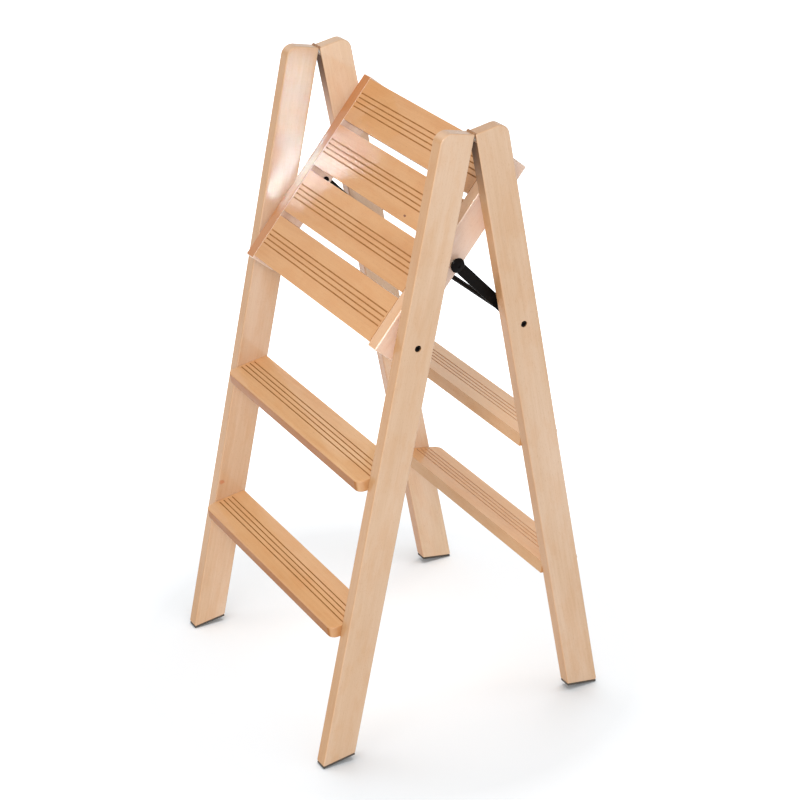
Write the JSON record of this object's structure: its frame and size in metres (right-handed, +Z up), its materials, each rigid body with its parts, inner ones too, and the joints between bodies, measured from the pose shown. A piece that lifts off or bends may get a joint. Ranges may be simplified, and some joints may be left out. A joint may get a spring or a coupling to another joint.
{
  "type": "folding step stool chair",
  "caption": "Folding wooden step stool: two hinged ladder frames with grooved treads and a slatted platform between them that steel struts swing level as it opens.",
  "frame": {"origin": "on the floor below the top hinges, midway between the front and the rear feet", "axes": "+X to the right of somebody facing the rear frame, +Y from the front frame to the rear frame, +Z up"},
  "size_m": [0.46, 0.4742, 0.929],
  "materials": {
    "beech_frame": "satin clear lacquer",
    "beech_steps": "satin clear lacquer",
    "black_steel": "satin black paint",
    "zinc_steel": "zinc plated",
    "black_rubber": "matt"
  },
  "bodies": {
    "front_frame": {"front_leg_left": "beech_frame", "front_leg_right": "beech_frame", "front_tread_upper": "beech_steps", "front_tread_lower": "beech_steps", "front_foot_pad_left": "black_rubber", "front_foot_pad_right": "black_rubber", "front_hinge_leaf_left": "zinc_steel", "front_hinge_leaf_right": "zinc_steel", "front_hinge_screw_1_left": "zinc_steel", "front_hinge_screw_1_right": "zinc_steel", "front_hinge_screw_2_left": "zinc_steel", "front_hinge_screw_2_right": "zinc_steel", "hinge_pin_left": "zinc_steel", "hinge_pin_right": "zinc_steel", "pivot_bolt_left": "black_steel", "pivot_bolt_right": "black_steel", "pivot_spacer_left": "black_steel", "pivot_spacer_right": "black_steel"},
    "rear_frame": {"rear_leg_left": "beech_frame", "rear_leg_right": "beech_frame", "rear_tread_upper": "beech_steps", "rear_tread_lower": "beech_steps", "rear_foot_pad_left": "black_rubber", "rear_foot_pad_right": "black_rubber", "rear_hinge_leaf_left": "zinc_steel", "rear_hinge_leaf_right": "zinc_steel", "rear_hinge_screw_1_left": "zinc_steel", "rear_hinge_screw_1_right": "zinc_steel", "rear_hinge_screw_2_left": "zinc_steel", "rear_hinge_screw_2_right": "zinc_steel", "cross_rod": "black_steel", "cross_rod_screw_left": "black_steel", "cross_rod_screw_right": "black_steel", "cross_rod_sleeve_left": "black_steel", "cross_rod_sleeve_right": "black_steel"},
    "platform": {"platform_rail_left": "beech_frame", "platform_rail_right": "beech_frame", "platform_slat_1": "beech_steps", "platform_slat_2": "beech_steps", "platform_slat_3": "beech_steps", "platform_slat_4": "beech_steps", "strut_nut_left": "black_steel", "strut_nut_right": "black_steel"},
    "struts": {"strut_left": "black_steel", "strut_right": "black_steel", "strut_cap_left": "black_steel", "strut_cap_right": "black_steel", "strut_washer_left": "zinc_steel", "strut_washer_right": "zinc_steel"}
  },
  "joints": [
    {"name": "frame_fold", "type": "hinge", "parent": "front_frame", "child": "rear_frame", "pos_m": [0, 0, 0.922], "axis": [1, 0, 0], "range_deg": [-18.5, 19.5]},
    {"name": "platform_pivot", "type": "hinge", "parent": "front_frame", "child": "platform", "pos_m": [0, -0.08444, 0.63298], "axis": [1, 0, 0], "range_deg": [-35.1, 33.3]},
    {"name": "strut_pivot", "type": "hinge", "parent": "rear_frame", "child": "struts", "pos_m": [0, 0.08444, 0.63298], "axis": [1, 0, 0], "range_deg": [-25.9, 27.3]}
  ],
  "couplings": [
    {"joint": "platform_pivot", "follows": "frame_fold", "ratio": -1.8},
    {"joint": "strut_pivot", "follows": "frame_fold", "ratio": 1.4}
  ]
}
